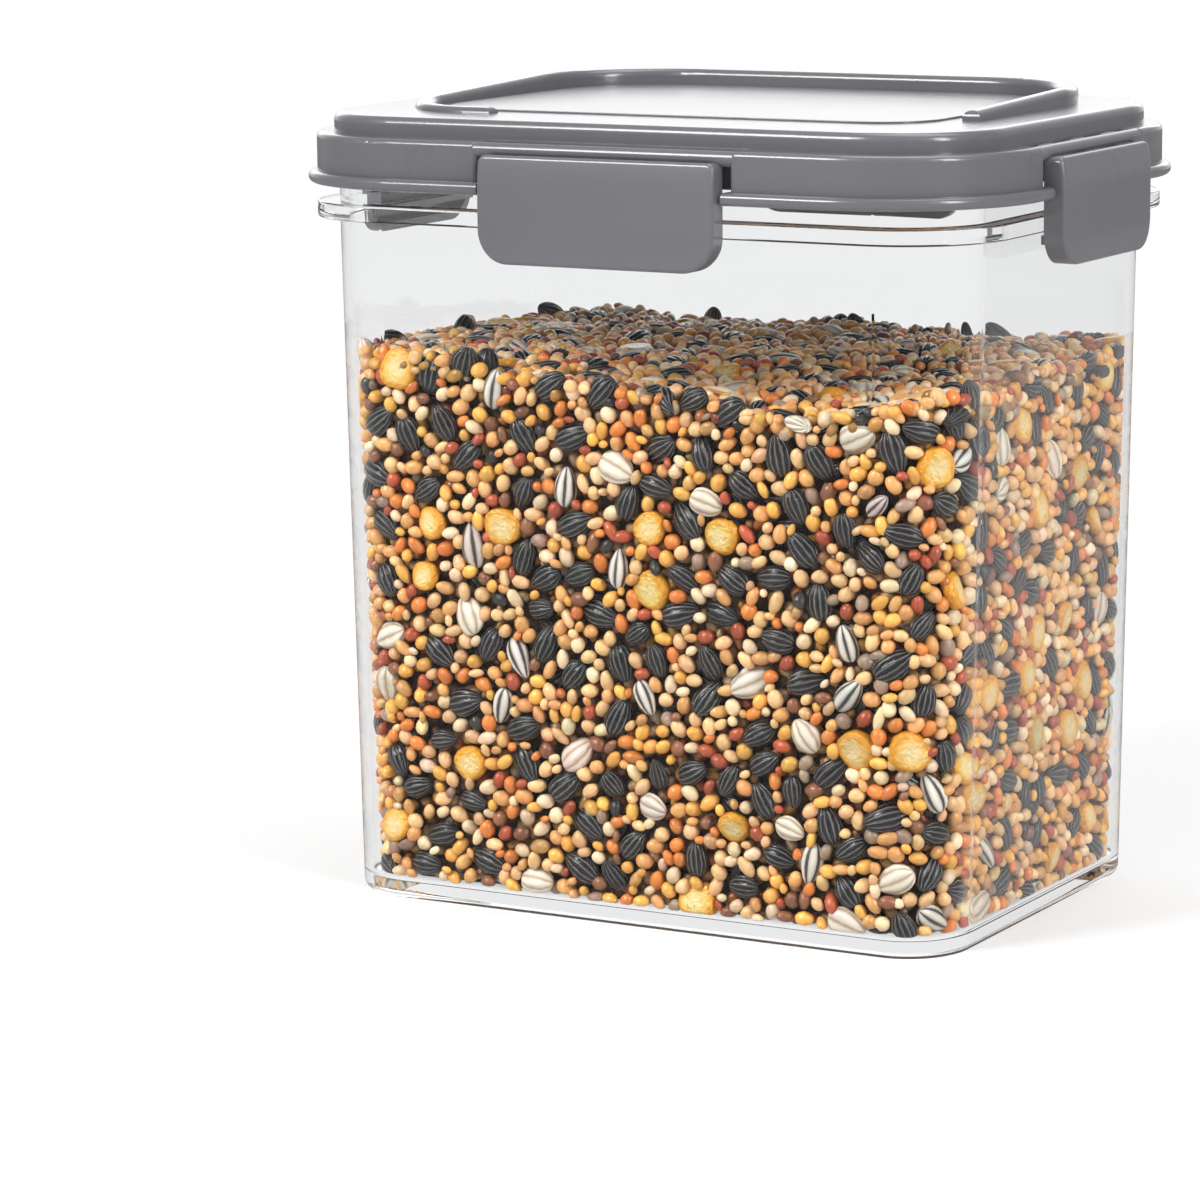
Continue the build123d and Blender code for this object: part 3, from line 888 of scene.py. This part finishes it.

# %% [markdown]
# The seeds of one kind and layer on one side of the tub make one piece, so that no mesh
# grows too large. Each seed gets its own size and tone here. A big seed's tone is a little warmer
# or cooler than its kind's, and a grain's is drawn from the tones of the mix. The deeper
# layer's tones are darkened as painted shade, for the shadow it lies in behind the first.

# %% Build the seed
SIDE_NAMES = ("front", "right", "back", "left", "top")
BIG_SPREAD = 0.09  # how far the sizes of big seeds spread
BIG_LIMITS = (0.78, 1.18)  # and the smallest and largest share of their usual size
TILTS = {"grain": 0.8, "top": 0.35, "wall": 0.15}
LOOSENESS = 0.5  # seeds stand up to this far off what they lean on
DEEPER = 3.0  # from the first layer to the second
GRAIN_SLIM = (1.12, 1.02, 0.97)  # a grain's half length, width and thickness, in radii
GRAIN_STRETCH = 0.12
BRIGHTNESS_SPREAD = 0.12
HUE_SPREAD = 0.03
DARKEST = 0.01
# painted shade: the deeper layer's tones are multiplied down because that layer lies in shadow
LAYER_PAINTED_SHADE = {"outer": 1.0, "inner": 0.45}


def side_of(facing):
    """The side of the tub that a seed belongs to."""
    if facing[2] > 0.5:
        return "top"
    if abs(facing[1]) > abs(facing[0]):
        return "front" if facing[1] < 0 else "back"
    return "right" if facing[0] > 0 else "left"


def tones_for(kind, count):
    """A colour for each seed, by which its finish is multiplied."""
    if kind == "grain":
        odds = np.array([share for _, share in GRAIN_TONES], float)
        palette = np.array([tone for tone, _ in GRAIN_TONES])
        tones = palette[rng.choice(len(palette), size=count, p=odds / odds.sum())]
    else:
        tones = np.ones((count, 3))
    lighter = BRIGHTNESS_SPREAD * rng.normal(size=(count, 1))
    warmer = HUE_SPREAD * rng.normal(size=(count, 3))
    tones = tones * (1 + lighter + warmer)
    return np.concatenate([np.clip(tones, DARKEST, 1), np.ones((count, 1))], axis=1)


def halves_for(kind, radii):
    """Half the length, width and thickness of each seed."""
    if kind == "grain":
        stretch = 1 + GRAIN_STRETCH * np.abs(rng.normal(size=(len(radii), 1)))
        stretches = np.concatenate([stretch, 1 / stretch, 1 / stretch], axis=1)
        return radii[:, None] * np.array(GRAIN_SLIM) * stretches
    size = 1 + BIG_SPREAD * rng.normal(size=(len(radii), 1))
    return np.array(KINDS[kind]["half"]) * np.clip(size, *BIG_LIMITS)


def build(rows, kind, side, layer, deeper, pattern):
    """One piece of all seeds of a kind on a side. Returns how many faces it has."""
    chosen = [row for row in rows if row[0] == kind and side_of(row[2]) == side]
    if not chosen:
        return 0
    spots = np.array([row[1] for row in chosen], float)
    facings = np.array([row[2] for row in chosen], float)
    facings /= np.linalg.norm(facings, axis=1)[:, None]
    alongs = np.array([row[3] for row in chosen])
    halves = halves_for(kind, np.array([row[4] for row in chosen]))
    tilt = TILTS["grain"] if kind == "grain" else TILTS["top" if side == "top" else "wall"]
    depths = deeper + LOOSENESS * rng.random(len(chosen))
    points = placed(pattern, spots, facings, alongs, halves, tilt, depths)
    name = f"{kind}_{layer}_{side}"
    # the layer's painted shade darkens the tones here
    tones = tones_for(kind, len(chosen)) * LAYER_PAINTED_SHADE[layer]
    mesh = merged(name, pattern, points, tones)
    mesh.materials.append(FINISHES[kind])
    piece = bpy.data.objects.new(name, mesh)
    bpy.context.collection.objects.link(piece)
    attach(piece, "tub")
    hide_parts("seed_fill")
    return len(mesh.polygons)


total = 0
deep_pattern = (deep_unit, deep_unit, deep_faces)
for side in SIDE_NAMES:
    for kind in KINDS:
        total += build(big_rows, kind, side, "outer", 0.0, PATTERNS[kind])
    total += build(grain_rows, "grain", side, "outer", 0.0, PATTERNS["grain"])
    total += build(deep_rows, "grain", side, "inner", DEEPER, deep_pattern)
    total += build(deep_rows, "sunflower", side, "inner", DEEPER, PATTERNS["sunflower"])
print("seed faces:", total)

# %% [markdown]
# Behind the two layers a dark lumpy core closes the last gaps, so that no light shines
# through the mass. Its dark brown is painted shade, for the seed deep inside that lies in
# shadow. It is a grid that follows the room, well inside it.

# %% Core of the seed
CORE_INSET = 6.0
CORE_STEP = 4.0
CORE_LUMP = 0.8
CORE_FOOT_Z = FLOOR_Z + 1.0
CORE_ROUGHNESS = 0.8
CELL_SCALE = 330.0  # cells about as large as a grain
CELL_HEIGHT = 0.001
# painted shade: the dark brown of seed that lies in shadow deep in the tub
CORE_SHADE_COLOURS = [(0.1, (0.2, 0.11, 0.05)), (0.6, (0.04, 0.02, 0.01))]


def core_point(run, z):
    """A point of the core's side, run millimetres round and z high."""
    spot, facing = on_wall(run, z)
    depth = CORE_INSET + CORE_LUMP * math.sin(run / 2.3) * math.cos(z / 2.1)
    return (spot[0] - facing[0] * depth, spot[1] - facing[1] * depth, z)


def core_top(x, y):
    return (x, y, float(heap(x, y)) - CORE_INSET)


def core_shape():
    """The points and faces of the core: rings from foot to top, closed at both ends."""
    around = int(RUN[-1] / CORE_STEP)
    levels = np.linspace(CORE_FOOT_Z, LEVEL_Z - CORE_INSET, int(LEVEL_Z / CORE_STEP))
    rings = [[core_point(RUN[-1] * j / around, float(z)) for j in range(around)] for z in levels]
    top = [core_top(x, y) for x, y, _ in rings[-1]]
    middle = [core_top(x * 0.5, y * 0.5) for x, y, _ in top]
    rings[-1:] = [top, middle]
    points = [point for ring in rings for point in ring]
    points += [(0, 0, CORE_FOOT_Z), core_top(0, 0)]
    faces = []
    for j in range(around):
        k = (j + 1) % around
        faces.append((j, len(points) - 2, k))
        last = (len(rings) - 1) * around
        faces.append((last + j, last + k, len(points) - 1))
        for i in range(len(rings) - 1):
            low = i * around
            faces.append((low + j, low + k, low + around + k, low + around + j))
    return points, faces


def core_finish():
    """Dark cells in painted shade, like the shaded backs of grains."""
    material, shader = recipe("seed_core", Roughness=CORE_ROUGHNESS)
    sockets = {"Vector": place_on(material), "Scale": CELL_SCALE}
    cells = node(material, "ShaderNodeTexVoronoi", sockets).outputs["Distance"]
    join(material, ramp(material, cells, CORE_SHADE_COLOURS), shader.inputs["Base Color"])
    emboss(material, shader, cells, 0.8, CELL_HEIGHT)
    return material


def add_core():
    points, faces = core_shape()
    mesh = bpy.data.meshes.new("seed_core")
    mesh.from_pydata([tuple(value * MM for value in point) for point in points], [], faces)
    mesh.update()
    mesh.materials.append(core_finish())
    core = bpy.data.objects.new("seed_core", mesh)
    bpy.context.collection.objects.link(core)
    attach(core, "tub")
    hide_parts("seed_fill")
    print("core faces:", len(faces))


add_core()
